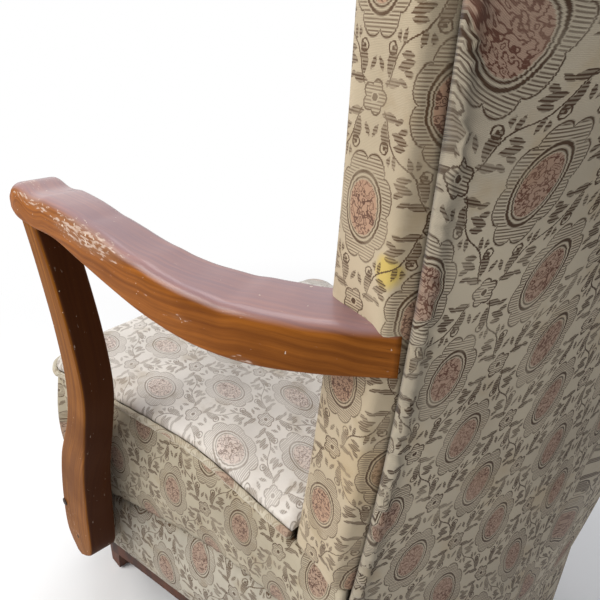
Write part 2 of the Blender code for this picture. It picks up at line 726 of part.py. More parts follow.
def centre():
    """Moves the whole chair along Y, so that its box stands centred on the origin."""
    bpy.context.view_layer.update()
    ys = [(obj.matrix_world @ Vector(corner)).y for obj in CHAIR.objects for corner in obj.bound_box]
    for obj in [*CHAIR.objects, *TOOLS.objects]:
        obj.location.y -= 0.5 * (min(ys) + max(ys))


def main():
    clear_scene()
    make_frame()
    make_springing()
    make_seat()
    make_back()
    make_arms()
    centre()


main()
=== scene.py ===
"""Looks of the old armchair: a sagging sprung seat and a tall bowed back in worn jacquard, with bent arms.

Lengths are in metres. The chair faces -Y and +X is the sitter's left. Plans are worked out from the middle of
the seat, and BACKWARD moves them to the frame's origin.
"""

import math

import bpy
import numpy as np
from mathutils import Matrix


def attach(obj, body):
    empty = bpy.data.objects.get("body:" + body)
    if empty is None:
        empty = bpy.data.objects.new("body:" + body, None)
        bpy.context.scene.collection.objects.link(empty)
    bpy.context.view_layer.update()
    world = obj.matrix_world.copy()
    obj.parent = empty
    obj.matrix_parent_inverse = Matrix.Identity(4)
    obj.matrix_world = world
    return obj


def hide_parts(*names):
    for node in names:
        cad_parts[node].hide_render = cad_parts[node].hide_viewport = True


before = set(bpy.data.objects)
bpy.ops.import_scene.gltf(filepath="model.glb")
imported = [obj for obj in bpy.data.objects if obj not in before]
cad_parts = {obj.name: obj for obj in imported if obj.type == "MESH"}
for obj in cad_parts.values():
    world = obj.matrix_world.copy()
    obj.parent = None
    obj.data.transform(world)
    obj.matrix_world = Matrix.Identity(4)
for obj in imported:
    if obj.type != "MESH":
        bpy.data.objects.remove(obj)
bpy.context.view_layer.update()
BACKWARD = -0.1641


# Seat top: the loose-backed cover over the springs, flat-woven wool and cotton. It is one stuffed shell
# whose rings run in from the seam to a short line in the middle, hollowed where it has been sat in.
BACK_HALF = 0.235
CORNER_X, CORNER_Y, CORNER_RADIUS = 0.268, -0.162, 0.040


def smooth(t):
    """The soft step 3t^2 - 2t^3 of t held between 0 and 1."""
    t = np.clip(t, 0.0, 1.0)
    return t * t * (3.0 - 2.0 * t)


def seat_half(y):
    """Half the seat's width: that of the back, and 0.073 more at the front by the power 1.5 of the way."""
    return BACK_HALF + 0.073 * np.clip((0.310 - y) / 0.472, 0.0, 1.0) ** 1.5


def welt_z(x, y):
    """Height of the top seam: 0.430, sunk 0.030 toward the back and 0.035 toward the sitter's right."""
    back = smooth((y - 0.10) / 0.21)
    return 0.430 - 0.030 * back - 0.035 * smooth((0.15 - x) / 0.40) * (1.0 - back)


def seat_path(rear, steps=70):
    """Plan from the left rear round the front to the right rear, its outward normals and its arc length.

    The side is x = seat_half(y), the corner a quarter circle, the front a shallow parabola.
    """
    y = np.linspace(rear, CORNER_Y, steps)
    turn = np.linspace(0.0, math.pi / 2, 14)[1:]
    x = np.linspace(CORNER_X, 0.0, 36)[1:]
    left = np.concatenate([
        np.stack([seat_half(y), y], 1),
        np.stack([CORNER_X + CORNER_RADIUS * np.cos(turn), CORNER_Y - CORNER_RADIUS * np.sin(turn)], 1),
        np.stack([x, -0.237 + 0.035 * (x / CORNER_X) ** 2], 1),
    ])
    path = np.concatenate([left, left[-2::-1] * (-1.0, 1.0)])
    step = np.gradient(path, axis=0)
    normal = np.stack([-step[:, 1], step[:, 0]], 1) / np.linalg.norm(step, axis=1)[:, None]
    run = np.linalg.norm(np.diff(path, axis=0), axis=1)
    return path, normal, np.concatenate([[0.0], np.cumsum(run)])


def shell(name, rings, weave, cap="fan"):
    """A closed skin over rings of points, [row, column, xyz], with metres of cloth as its UV map.

    weave holds one more column than rings, so that the cloth doesn't run back across the joint. The end
    rings are closed by a fan from their middle, or by rungs where they are long and bent.
    """
    rows, columns = rings.shape[:2]
    r, c = np.meshgrid(np.arange(rows - 1), np.arange(columns), indexing="ij")
    after = (c + 1) % columns
    quads = np.stack([
        r * columns + c, r * columns + after, (r + 1) * columns + after, (r + 1) * columns + c,
    ], -1)
    wide = columns + 1
    marks = np.stack([r * wide + c, r * wide + c + 1, (r + 1) * wide + c + 1, (r + 1) * wide + c], -1)
    points, cloth = rings.reshape(-1, 3), weave.reshape(-1, 2)
    faces, corners = [quads.reshape(-1, 4)], [marks.reshape(-1, 4)]
    k = np.arange(columns)
    if cap == "fan":
        points = np.concatenate([points, rings[0].mean(0)[None], rings[-1].mean(0)[None]])
        cloth = np.concatenate([cloth, weave[0].mean(0)[None], weave[-1].mean(0)[None]])
        for row, pole in ((0, 0), (rows - 1, 1)):
            hub = np.full(columns, rows * columns + pole)
            fan = [row * columns + k, hub, row * columns + (k + 1) % columns]
            mark = [row * wide + k, np.full(columns, rows * wide + pole), row * wide + k + 1]
            order = slice(None) if pole == 0 else slice(None, None, -1)
            faces.append(np.stack(fan[order], 1))
            corners.append(np.stack(mark[order], 1))
    else:
        k = np.arange(columns // 2 - 1)
        for row in (0, rows - 1):
            rung = [k, columns - 1 - k, columns - 2 - k, k + 1]
            rung = rung if row == 0 else rung[::-1]
            faces.append(np.stack(rung, 1) + row * columns)
            corners.append(np.stack(rung, 1) + row * wide)
    mesh = bpy.data.meshes.new(name)
    mesh.from_pydata(points.tolist(), [], [face for group in faces for face in group.tolist()])
    order = np.concatenate([group.reshape(-1) for group in corners])
    tri = points[quads.reshape(-1, 4)]
    middle = points.mean(0)
    signed = np.einsum("ij,ij->i", np.cross(tri[:, 2] - tri[:, 0], tri[:, 3] - tri[:, 1]), tri.mean(1) - middle)
    layer = mesh.uv_layers.new(name="cloth")
    layer.data.foreach_set("uv", cloth[order].astype(np.float32).reshape(-1))
    if signed.sum() < 0:
        mesh.flip_normals()
    mesh.polygons.foreach_set("use_smooth", np.ones(len(mesh.polygons), bool))
    piece = bpy.data.objects.new(name, mesh)
    bpy.context.scene.collection.objects.link(piece)
    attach(piece, "root")
    return piece


class Socket:
    """One shader output that takes part in sums: each operator adds the Math node of that name.

    | takes the greater of two values and & the smaller.
    """

    def __init__(self, finish, out):
        self.finish, self.out = finish, out

    def math(self, operation, other=None, turned=False):
        """A Math node of this value and another, or of the two the other way round."""
        order = [other, self] if turned else [self, other]
        values = {k: v for k, v in enumerate(order) if v is not None}
        return self.finish.node("Math", values, operation=operation)

    def also(self, out):
        """Another output of the node that this one comes from."""
        return Socket(self.finish, self.out.node.outputs[out])

    def __add__(self, other):
        return self.math("ADD", other)

    def __sub__(self, other):
        return self.math("SUBTRACT", other)

    def __rsub__(self, other):
        return self.math("SUBTRACT", other, turned=True)

    def __mul__(self, other):
        return self.math("MULTIPLY", other)

    def __truediv__(self, other):
        return self.math("DIVIDE", other)

    def __pow__(self, other):
        return self.math("POWER", other)

    def __abs__(self):
        return self.math("ABSOLUTE")

    def __or__(self, other):
        return self.math("MAXIMUM", other)

    def __and__(self, other):
        return self.math("MINIMUM", other)

    __radd__, __rmul__ = __add__, __mul__

    def over(self, low, high):
        """A soft step: 0 below low, 1 above high, or the other way round where low is the greater."""
        values = {0: self, 1: min(low, high), 2: max(low, high), 3: float(low > high), 4: float(low < high)}
        return self.finish.node("MapRange", values, interpolation_type="SMOOTHSTEP")


class Finish:
    """A material, made from the values that are the same all over it."""

    def __init__(self, name, **fixed):
        self.material = bpy.data.materials.new(name)
        self.material.use_nodes = True
        self.shader = self.material.node_tree.nodes["Principled BSDF"]
        for words, value in fixed.items():
            self.shader.inputs[words.replace("_", " ")].default_value = value

    def node(self, kind, sockets=None, out=0, **settings):
        """Adds a node of a kind, with its settings first, then a value or a link for each socket named."""
        made = self.material.node_tree.nodes.new("ShaderNode" + kind)
        for word, value in settings.items():
            setattr(made, word, value)
        for key, value in (sockets or {}).items():
            self.join(value, made.inputs[key])
        return Socket(self, made.outputs[out])

    def join(self, value, socket):
        """Links a Socket, or writes a plain value."""
        if isinstance(value, Socket):
            self.material.node_tree.links.new(value.out, socket)
        else:
            socket.default_value = value

    def feed(self, **sockets):
        """What changes over the surface, by the names of the shader's sockets."""
        for words, value in sockets.items():
            self.join(value, self.shader.inputs[words.replace("_", " ")])

    def mix(self, share, low, high):
        """A colour part way from low to high."""
        return self.node("Mix", {0: share, 6: low, 7: high}, out=2, data_type="RGBA")

    def noise(self, place, scale, detail=2.0):
        """Cloudy values from 0 to 1, with so many patches to the metre."""
        return self.node("TexNoise", {"Vector": place, "Scale": scale, "Detail": detail})

    def bump(self, height, distance, strength=1.0):
        """Fine relief from a height, through Bump into Normal."""
        made = self.node("Bump", {"Height": height, "Distance": distance, "Strength": strength})
        self.feed(Normal=made)


def tone(red, green, blue):
    """A colour given as it looks on screen, 0 to 255, made linear by the power 2.2."""
    return (*((value / 255.0) ** 2.2 for value in (red, green, blue)), 1.0)


ACROSS, UP = 0.0735, 0.0845  # from an oval to the next flower
OVAL_X, OVAL_Y = 0.0208, 0.0282  # an oval's half width and half height
RIB = 0.00105  # from one weft rib to the next


def jacquard(name, ground, ink, core, strength=1.0, stains=()):
    """The woven cover: ovals with scalloped rims where column plus row is even, flowers between, sprigs along
    the diagonals. Each motif is a distance from its middle, held in a repeat of twice ACROSS by twice UP."""
    cloth = Finish(name, Roughness=0.88, Sheen_Weight=0.12, Specular_IOR_Level=0.25)
    uv = cloth.node("SeparateXYZ", {0: cloth.node("TexCoord", out="UV")})
    u, v = uv, uv.also(1)
    rib = (v / RIB).math("FLOOR")
    slip = cloth.node("TexWhiteNoise", {"W": rib}, noise_dimensions="1D")
    u = u + (slip - 0.5) * 0.0009
    row = (rib + 0.5) * RIB * 0.55 + v * 0.45

    def nearest(x, y):
        """Coordinates from the nearest point of the staggered lattice, by the lozenge round each point."""
        s, t = x / (2 * ACROSS), y / (2 * UP)
        ax = ((s + 0.5).math("FRACT") - 0.5) * (2 * ACROSS)
        ay = ((t + 0.5).math("FRACT") - 0.5) * (2 * UP)
        bx = (s.math("FRACT") - 0.5) * (2 * ACROSS)
        by = (t.math("FRACT") - 0.5) * (2 * UP)
        first = (abs(ax) / ACROSS + abs(ay) / UP).math("LESS_THAN", 1.0)
        return bx + (ax - bx) * first, by + (ay - by) * first

    def line(distance, half, soft=0.0003):
        """1 where the distance is within half of nought, fading over soft."""
        return abs(distance).over(half + soft, half - soft)

    mx, my = nearest(u, row)
    r = ((mx / OVAL_X) ** 2.0 + (my / OVAL_Y) ** 2.0) ** 0.5
    angle = (my / OVAL_Y).math("ARCTAN2", mx / OVAL_X)
    rim = 1.36 + 0.27 * abs((angle * 4.0).math("SINE")) ** 0.55
    inside = r.over(0.84, 0.78)
    spot = cloth.node("CombineXYZ", {0: u, 1: v})
    curls = cloth.noise(spot, 170.0, 1.5)
    strokes = line(curls - 0.5, 0.040, 0.020) | line(curls - 0.35, 0.020, 0.014)
    stripe = line((row / 0.0026).math("FRACT") - 0.5, 0.22, 0.10)
    lobes = r.over(1.10, 1.16) * (rim - r).over(0.02, 0.07) * stripe
    oval = line(r - 0.88, 0.030, 0.03) | line(r - 1.04, 0.052, 0.03) | line(r - rim, 0.028, 0.03)
    inked = oval | lobes * 0.75

    fx, fy = nearest(u - ACROSS, row)
    far = (fx * fx + fy * fy) ** 0.5
    petal = 0.0094 + 0.0034 * abs((fy.math("ARCTAN2", fx) * 2.5).math("SINE"))
    flower = line(far - petal, 0.0008) | far.over(0.0032, 0.0026)
    flower = flower | far.over(0.0040, 0.0046) * (petal - far).over(0.0, 0.0008) * stripe * 0.8
    x, y = abs(fx), abs(fy)
    reach = math.hypot(ACROSS, UP)
    s = (x * ACROSS + y * UP) / reach
    t = (x * UP - y * ACROSS) / reach

    def leaf(along, aside, turn, length=0.0098, width=0.0036):
        """A leaf between two parabolas, turned by an angle about a point beside the stem."""
        c, n = math.cos(turn), math.sin(turn)
        p = (s - along) * c + (t - aside) * n
        q = (t - aside) * c - (s - along) * n
        return (abs(q) + width * (p / length) ** 2.0 - width).over(0.0002, -0.0004)

    stem = line(t - 0.0036 * (s * 112.0).math("SINE"), 0.0007) * s.over(0.013, 0.016)
    curl = ((s - 0.0365) ** 2.0 + (t + 0.0105) ** 2.0) ** 0.5
    sprig = leaf(0.0215, 0.0068, 0.75) | leaf(0.0275, -0.0050, -0.70) | leaf(0.0400, 0.0080, 0.55)
    sprig = sprig | leaf(0.0510, -0.0060, -0.50, 0.0065, 0.0024) | leaf(0.0300, 0.0145, 1.25, 0.0060, 0.0024)
    sprig = sprig | leaf(0.0205, -0.0120, -1.20, 0.0060, 0.0024)
    sprig = sprig | leaf(0.0345, -0.0065, -0.60, 0.0075, 0.0032) | leaf(0.0455, 0.0045, 0.90, 0.0070, 0.0030)
    sprig = sprig | leaf(0.0480, -0.0125, -1.00, 0.0062, 0.0026) | leaf(0.0385, 0.0150, 1.10, 0.0062, 0.0026)
    sprig = sprig * (0.50 + 0.50 * stripe)
    sprig = sprig | stem | line(curl - 0.0044, 0.0007) | curl.over(0.0019, 0.0012)
    clear = r.over(1.70, 1.80)
    inked = inked | (flower | sprig) * clear
    worn = cloth.noise(spot, 22.0, 4.0)
    fibre = cloth.noise(spot, 900.0, 2.0)
    inked = inked * (0.66 + 0.46 * worn.over(0.30, 0.62)) * (0.82 + 0.36 * fibre) * strength
    strokes = strokes * inside * (0.55 + 0.4 * worn.over(0.3, 0.6)) * strength

    place = cloth.node("TexCoord", out="Object")
    cloud = cloth.noise(place, 7.0, 5.0)
    grime = cloth.noise(place, 26.0, 4.0)
    thread = (v * (2 * math.pi / RIB)).math("SINE")
    base = cloth.mix(cloud.over(0.35, 0.68), ground, tuple(0.80 * c for c in ground[:3]) + (1.0,))
    base = cloth.mix(grime.over(0.52, 0.72) * 0.35, base, tone(150, 128, 92))
    base = cloth.mix(inside * 0.62, base, core)
    base = cloth.mix(strokes, base, tone(84, 54, 42))
    for at, radius, colour, amount in stains:
        away = cloth.node("VectorMath", {0: place, 1: at}, out="Value", operation="DISTANCE")
        mark = (away / radius + (grime - 0.5) * 1.3).over(1.0, 0.55) * amount
        base = cloth.mix(mark, base, colour)
    base = cloth.mix(inked & 1.0, base, ink)
    # Painted shade in the troughs between the weft ribs, with fibre tone that varies at random.
    rib_shade_and_fibre_tone = (0.93 + 0.05 * thread + 0.07 * fibre) & 1.0
    base = cloth.mix(1.0 - rib_shade_and_fibre_tone, base, tone(70, 58, 42))
    cloth.feed(Base_Color=base)
    cloth.bump(thread * 0.5 + inked * 0.8 + fibre * 0.6, 0.0004, 0.55)
    return cloth.material


CREAM_TOP = tone(228, 221, 212)
BROWN_INK = tone(86, 64, 44)
ROSE_CORE = tone(160, 122, 102)
top_cover = jacquard("cover_of_the_seat", CREAM_TOP, tone(112, 94, 76), tone(214, 194, 182), 0.66)

REAR_OF_SEAT = 0.3010
path, normal, run = seat_path(REAR_OF_SEAT)
back_edge = np.linspace(path[-1], path[0], 60)[1:-1]
outline = np.concatenate([path, back_edge])
levels = np.array([  # share of the way in to the middle, and height over the seam, from under to over
    [0.97, 0.0], [0.50, 0.0], [0.10, 0.0], [0.02, -0.0020], [0.006, -0.0016], [0.0, 0.0016],
    [0.003, 0.0060], [0.012, 0.0092], [0.04, 0.0125], [0.08, 0.0150], [0.14, 0.0165], [0.22, 0.0170],
    [0.32, 0.0160], [0.44, 0.0140], [0.58, 0.0115], [0.74, 0.0090], [0.88, 0.0080], [0.97, 0.0078],
])
heart = np.stack([np.zeros(len(outline)), np.clip(outline[:, 1], -0.04, 0.10)], 1)
plan = outline[None] + (heart - outline)[None] * levels[:, :1, None]
crease = 0.0012 * np.sin(plan[..., 0] * 61.0 + 3.0 * np.sin(plan[..., 1] * 17.0))
crease = crease * smooth(levels[:, 1:2] / 0.012)
height = welt_z(plan[..., 0], plan[..., 1]) + 0.0038 + levels[:, 1:2] + crease
rings = np.concatenate([plan + (0.0, BACKWARD), height[..., None]], -1)


def over_top(points):
    """Cloth on the seat: across is minus x, up is y, with each column of ovals a little further forward."""
    across = 0.225 - points[..., 0]
    weave = np.stack([across, points[..., 1] + 0.162 + 0.20 * across], -1)
    return np.concatenate([weave, weave[:, :1]], 1)


seat_top = shell("seat_top_cover", rings, over_top(rings))
seat_top.data.materials.append(top_cover)
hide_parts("seat_top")


# Seat border and lower band: two strips of the cover tacked over wadding round the rails, which bulge and
# pucker between their seams. A small padded section is carried along the plan of the seat.
BORDER_CREAM = tone(186, 174, 150)
border_cover = jacquard("cover_of_the_seat_border", BORDER_CREAM, BROWN_INK, ROSE_CORE, 0.95)
band_cover = jacquard("cover_of_the_lower_band", tone(188, 180, 163), BROWN_INK, ROSE_CORE, 0.95)


def lower_seam(y):
    """Height of the seam under the border, which climbs from 0.217 at the front to 0.258 at the back."""
    return 0.217 + 0.041 * np.clip((y + 0.106) / 0.26, 0.0, 1.0)


def strip(name, rear, low, high, bulge, pucker, weave_at):
    """A padded strip round the seat. Across it the outer face stands out by the power 0.7 of a sine."""
    path, normal, run = seat_path(rear, 110)
    share = np.linspace(0.0, 1.0, 17)
    low, high = low(path), high(path)
    z = low[:, None] + (high - low)[:, None] * share
    out = bulge(share)[None] * (1.0 + 0.22 * np.sin(run[:, None] / 0.047 + 4.0 * share))
    fold = np.sin(run * (2 * math.pi / 0.023) + 2.0 * np.sin(run * 31.0))[:, None] * pucker(share)[None]
    out = out - 0.002 + fold
    face = path[:, None] + normal[:, None] * out[..., None]
    held = np.sign(face[..., 0]) * np.minimum(np.abs(face[..., 0]), 0.3079)
    face[..., 0] = np.where(face[..., 1] > -0.165, held, face[..., 0])
    lining = path[:, None] - normal[:, None] * 0.011
    section = np.concatenate([face, np.repeat(lining, 3, 1)], 1)
    z = np.concatenate([z, z[:, [16, 8, 0]]], 1)
    rings = np.concatenate([section + (0.0, BACKWARD), z[..., None]], -1)
    weave = weave_at(run, rings)
    piece = shell(name, rings, np.concatenate([weave, weave[:, :1]], 1))
    return piece


def border_weave(run, rings):
    """Arc length across, from the oval nearest the post, and height up, climbing a little to the rear."""
    across = np.broadcast_to(run[:, None], rings.shape[:2])
    return np.stack([1.12 * (across - 0.432), rings[..., 2] - 0.325 + 0.11 * (across - 0.432)], -1)


seat_border = strip(
    "seat_border_cover", 0.389,
    lambda p: lower_seam(p[:, 1]) + 0.0010,
    lambda p: np.where(p[:, 1] < 0.297, welt_z(p[:, 0], p[:, 1]) - 0.0030, 0.3875),
    lambda s: 0.0115 * np.sin(math.pi * s) ** 0.7,
    lambda s: 0.0012 * np.exp(-((1.0 - s) / 0.16) ** 2) + 0.0009 * np.exp(-(s / 0.12) ** 2),
    border_weave,
)
seat_border.data.materials.append(border_cover)
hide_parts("seat_border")


def band_weave(run, rings):
    """As on the border, with an oval by the front leg."""
    across = np.broadcast_to(run[:, None], rings.shape[:2])
    return np.stack([across - 0.478, rings[..., 2] - 0.182 - 0.17 * (across - 0.478)], -1)


lower_band = strip(
    "seat_lower_band_cover", 0.389,
    lambda p: np.full(len(p), 0.100),
    lambda p: lower_seam(p[:, 1]) - 0.0010,
    lambda s: 0.0130 * np.sin(math.pi * s ** 0.8) ** 0.6,
    lambda s: 0.0014 * np.exp(-((1.0 - s) / 0.2) ** 2),
    band_weave,
)
lower_band.data.materials.append(band_cover)
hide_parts("seat_lower_band")


# Welt: a cord in its own bias-cut cover, sewn between the seat top and the border. A round section is
# carried along the seam, a little uneven where the cord has shifted.
welt_cover = jacquard("cover_of_the_welt", tone(204, 194, 172), tone(120, 100, 78), ROSE_CORE, 0.6)
path, normal, run = seat_path(REAR_OF_SEAT, 150)
turn = np.linspace(0.0, 2 * math.pi, 13)
thick = 0.0048 + 0.0004 * np.sin(run * 190.0) + 0.0003 * np.sin(run * 77.0)
out = 0.0036 + thick[:, None] * np.cos(turn[:-1])
plan = path[:, None] + normal[:, None] * out[..., None] + (0.0, BACKWARD)
height = welt_z(path[:, 0], path[:, 1])[:, None] + thick[:, None] * np.sin(turn[:-1])
rings = np.concatenate([plan, height[..., None]], -1)
across, round_it = np.meshgrid(run, 0.005 * turn, indexing="ij")
weave = np.stack([0.7 * (across + round_it), 0.7 * (across - round_it)], -1)
seat_welt = shell("seat_welt_cover", rings, weave)
seat_welt.data.materials.append(welt_cover)
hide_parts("seat_welt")


# Back side borders: stuffed strips between the inside and the outside back, with a hard ridge of stuffing
# near the rear and a valley before the seam. One section in plan follows the lean of the back.
def seam_y(z):
    """The seam of the outside back: y 0.440 at the top, drawn forward 0.045 by the power 2.2 lower down."""
    return 0.440 - 0.045 * np.clip((1.0 - z) / 0.65, 0.0, 1.0) ** 2.2


def back_front(z):
    """The front edge: 0.100 ahead of the seam, nearly straight where the stuffing fills the shoulders."""
    return seam_y(z) - 0.100 + 0.001 * np.sin(math.pi * np.clip((z - 0.45) / 0.5, 0.0, 1.0))


side_cover = jacquard(
    "cover_of_the_back_sides", tone(194, 177, 149), BROWN_INK, tone(170, 122, 96), 0.95,
    stains=(
        ((0.245, 0.247, 0.783), 0.017, tone(205, 176, 74), 0.75),
        ((0.245, 0.262, 0.762), 0.007, tone(206, 208, 70), 0.9),
        ((0.245, 0.268, 0.690), 0.013, tone(192, 184, 112), 0.6),
        ((0.250, 0.235, 0.560), 0.050, tone(176, 150, 108), 0.4),
    ),
)
SECTION = np.array([  # out from the back's half width, and back from its front edge
    [-0.0220, 0.0030], [-0.0150, 0.0004], [-0.0105, 0.0006], [-0.0070, 0.0024], [-0.0035, 0.0070],
    [-0.0005, 0.0140], [0.0020, 0.0230], [0.0036, 0.0330], [0.0052, 0.0430], [0.0072, 0.0530],
    [0.0094, 0.0620], [0.0112, 0.0690], [0.0118, 0.0740], [0.0108, 0.0785], [0.0078, 0.0820],
    [0.0040, 0.0848], [0.0010, 0.0874], [-0.0018, 0.0902], [-0.0060, 0.0930], [-0.0130, 0.0945],
    [-0.0220, 0.0952], [-0.0220, 0.0700], [-0.0220, 0.0480], [-0.0220, 0.0250],
])
z = np.concatenate([[0.3886, 0.3892], np.linspace(0.392, 1.033, 120), [1.0345, 1.0350]])
lip = np.array([0.0035, 0.0012, *np.zeros(120), 0.0010, 0.0030])
gather = np.exp(-((SECTION[:, 1] - 0.088) / 0.012) ** 2) * (SECTION[:, 0] > -0.010)
wrinkle = 0.0013 * np.sin(z * (2 * math.pi / 0.024) + 1.5 * np.sin(z * 41.0))
ripple = 0.0010 * np.sin(z[:, None] * 37.0 + 60.0 * SECTION[:, 1]) * (SECTION[:, 0] > -0.006)
x = BACK_HALF + SECTION[:, 0] + wrinkle[:, None] * gather + ripple - lip[:, None] * (SECTION[:, 0] > -0.02)
deep = 0.0955 + seam_y(z) - back_front(z) - 0.100
y = (back_front(z) + lip)[:, None] + SECTION[:, 1] * deep[:, None] / 0.0955
y = np.minimum(y, (seam_y(z) - 0.0046)[:, None])
step = np.linalg.norm(np.diff(SECTION, axis=0, append=SECTION[:1]), axis=1)
along = np.concatenate([[0.0], np.cumsum(step)])
for word, side in (("left", 1.0), ("right", -1.0)):
    rings = np.stack([side * x, y + BACKWARD, np.broadcast_to(z[:, None], x.shape)], -1)
    weave = np.stack(np.meshgrid(side * (0.052 - along), z - 0.655, indexing="xy"), -1)
    piece = shell("back_side_cover_" + word, rings, weave)
    piece.data.materials.append(side_cover)
    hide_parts("back_side_border_" + word)


# Outside back: one panel of the cover stretched round the bowed rails and slip-stitched down both sides,
# where its folded edge stands up in puckers. It gapes at one place on the left.
BOW, BOW_POWER = 0.132, 2.5
# Painted shade: the ground, ink and core here are darker copies of the cover's colours, for the shade on this
# side.
outside_cover = jacquard(
    "cover_of_the_outside_back", tone(172, 161, 141), tone(64, 47, 33), tone(134, 98, 82), 1.05,
)
z = np.concatenate([[0.1000, 0.1010], np.linspace(0.104, 1.032, 150), [1.0345, 1.0352]])
tuck = np.array([0.0020, 0.0004, *np.zeros(150), 0.0006, 0.0020])
share = np.linspace(-1.0, 1.0, 121)
across = BACK_HALF * np.sign(share) * (1.0 - (1.0 - np.abs(share)) ** 1.35)
edge = BACK_HALF - np.abs(across)
bead = np.exp(-((edge - 0.0035) / 0.0032) ** 2)
pucker = np.sin(z[:, None] * (2 * math.pi / 0.017) + 2.2 * np.sin(z[:, None] * 53.0 + np.sign(across)))
folds = 0.0011 * pucker * np.exp(-edge / 0.010) + 0.0014 * pucker * bead
gape = np.exp(-((z[:, None] - 0.885) / 0.016) ** 2) * np.exp(-((BACK_HALF - across) / 0.006) ** 2)
drag = 0.0014 * np.sin(across * 34.0 + z[:, None] * 9.0) * smooth(edge / 0.05)
lift = 0.0042 * bead + 1.5 * folds + drag
outer_x = across + np.sign(across) * (0.6 * lift * np.exp(-edge / 0.02)) - 0.006 * gape
bowed = BOW * (1.0 - np.minimum(np.abs(across) / BACK_HALF, 1.0) ** BOW_POWER)
outer_y = seam_y(z)[:, None] + bowed + lift + 0.0045 * gape - tuck[:, None]
inner_y = np.broadcast_to(seam_y(z)[:, None] + bowed - 0.0040, outer_y.shape)
inner_x = np.broadcast_to(across * 0.992, outer_x.shape)
ring_x = np.concatenate([outer_x, inner_x[:, ::-1]], 1)
ring_y = np.concatenate([outer_y, inner_y[:, ::-1]], 1)
rings = np.stack([ring_x, ring_y + BACKWARD, np.broadcast_to(z[:, None], ring_x.shape)], -1)


def panel_weave(across, z):
    """Cloth on the panel. The arc from the left seam and the height give it by a cubic in both, which
    crowds the ovals near the seam and lifts them further round; past 0.28 it runs evenly.
    """
    plan = np.stack([across, BOW * (1.0 - np.abs(across / BACK_HALF) ** BOW_POWER)], 1)
    arc = np.concatenate([[0.0], np.cumsum(np.linalg.norm(np.diff(plan, axis=0), axis=1))])
    arc = np.broadcast_to((arc[-1] - arc)[None], (len(z), len(across)))
    a = np.clip(arc, 0.0, 0.20) / 0.1
    h = (np.broadcast_to(z[:, None], a.shape).clip(0.38, 0.98) - 0.7) / 0.3
    terms = np.stack([a**0, a, a * a, h, a * h, h * h, a**3, a * a * h, a * h * h, h**3], -1)
    weave = terms @ LAYOUT
    weave[..., 1] += z[:, None] - z.clip(0.38, 0.98)[:, None]
    even = np.stack([0.513 + arc - 0.20, np.broadcast_to(z[:, None] - 1.0626, arc.shape)], -1)
    share = smooth((arc - 0.18) / 0.10)[..., None]
    return weave * (1.0 - share) + even * share


LAYOUT = np.array([
    [0.0107, -0.2348], [0.1760, -0.0163], [0.0258, -0.0464], [-0.0599, 0.2915], [-0.0719, 0.0990],
    [0.0230, -0.0220], [0.0059, 0.0113], [0.0144, -0.0302], [-0.1133, 0.0291], [0.0147, -0.0304],
])
weave = panel_weave(across, z)
weave = np.concatenate([weave, weave[:, ::-1], weave[:, :1]], 1)
outside_back = shell("outside_back_cover", rings, weave, cap="rungs")
outside_back.data.materials.append(outside_cover)
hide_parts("outside_back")


# Inside back: a stuffed panel between the side borders, crowned across and pulled down at its edges.
# Rows of one section run up it, each rounded at its two ends.
inside_cover = jacquard("cover_of_the_inside_back", tone(196, 184, 160), BROWN_INK, ROSE_CORE, 0.9)
HALF, FOOT, HEAD = 0.2125, 0.4196, 1.0350
z = np.concatenate([FOOT + np.array([0.0, 0.0015, 0.005, 0.010]), np.linspace(0.434, 1.018, 70),
                    HEAD - np.array([0.010, 0.005, 0.0015, 0.0])])
side_round = np.linspace(-1.0, 1.0, 61)
x = HALF * np.sign(side_round) * (1.0 - (1.0 - np.abs(side_round)) ** 1.3)
near = np.clip((np.abs(x) - (HALF - 0.014)) / 0.014, 0.0, 1.0)
inward = np.minimum(z - FOOT, HEAD - z)
ends = np.clip(1.0 - inward / 0.015, 0.0, 1.0)
drop = 0.014 * (1.0 - np.sqrt(1.0 - near**2)) + 0.012 * (1.0 - np.sqrt(1.0 - ends**2))[:, None]
crown = 0.016 * (1.0 - (x / HALF) ** 4)[None] * smooth(inward / 0.08 + 0.3)[:, None]
slack = 0.0016 * np.sin(x[None] * 29.0 + 2.0 * np.sin(z[:, None] * 13.0))
slack = slack * (1.0 - near[None]) * (1.0 - ends[:, None])
front = back_front(z)[:, None] + drop - crown + slack
behind = np.repeat((seam_y(z) - 0.0640)[:, None], 3, 1)
ring_x = np.concatenate([np.broadcast_to(x, front.shape), np.tile([HALF, 0.0, -HALF], (len(z), 1))], 1)
rings = np.stack([ring_x, np.concatenate([front, behind], 1) + BACKWARD,
                  np.broadcast_to(z[:, None], ring_x.shape)], -1)
weave = np.stack([ring_x, rings[..., 2] - 0.655], -1)
inside_back = shell("inside_back_cover", rings, np.concatenate([weave, weave[:, :1]], 1))
inside_back.data.materials.append(inside_cover)
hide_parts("inside_back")


# Top border: the wadded cap over the top rail. Its outline in plan shrinks as it rises, like a low dome.
x = np.linspace(BACK_HALF, -BACK_HALF, 90)
z_top = 1.0353
bow_line = np.stack([x, seam_y(z_top) + BOW * (1.0 - np.abs(x / BACK_HALF) ** BOW_POWER)], 1)
front = back_front(z_top)
x = np.linspace(-0.227, 0.227, 60)
front_line = np.stack([x, front - 0.009 * (1.0 - (x / 0.227) ** 4)], 1)
left = np.stack([np.linspace(0.2285, 0.244, 14), np.linspace(front + 0.001, front + 0.074, 14)], 1)
base = np.concatenate([bow_line, left[::-1] * (-1.0, 1.0), front_line, left])
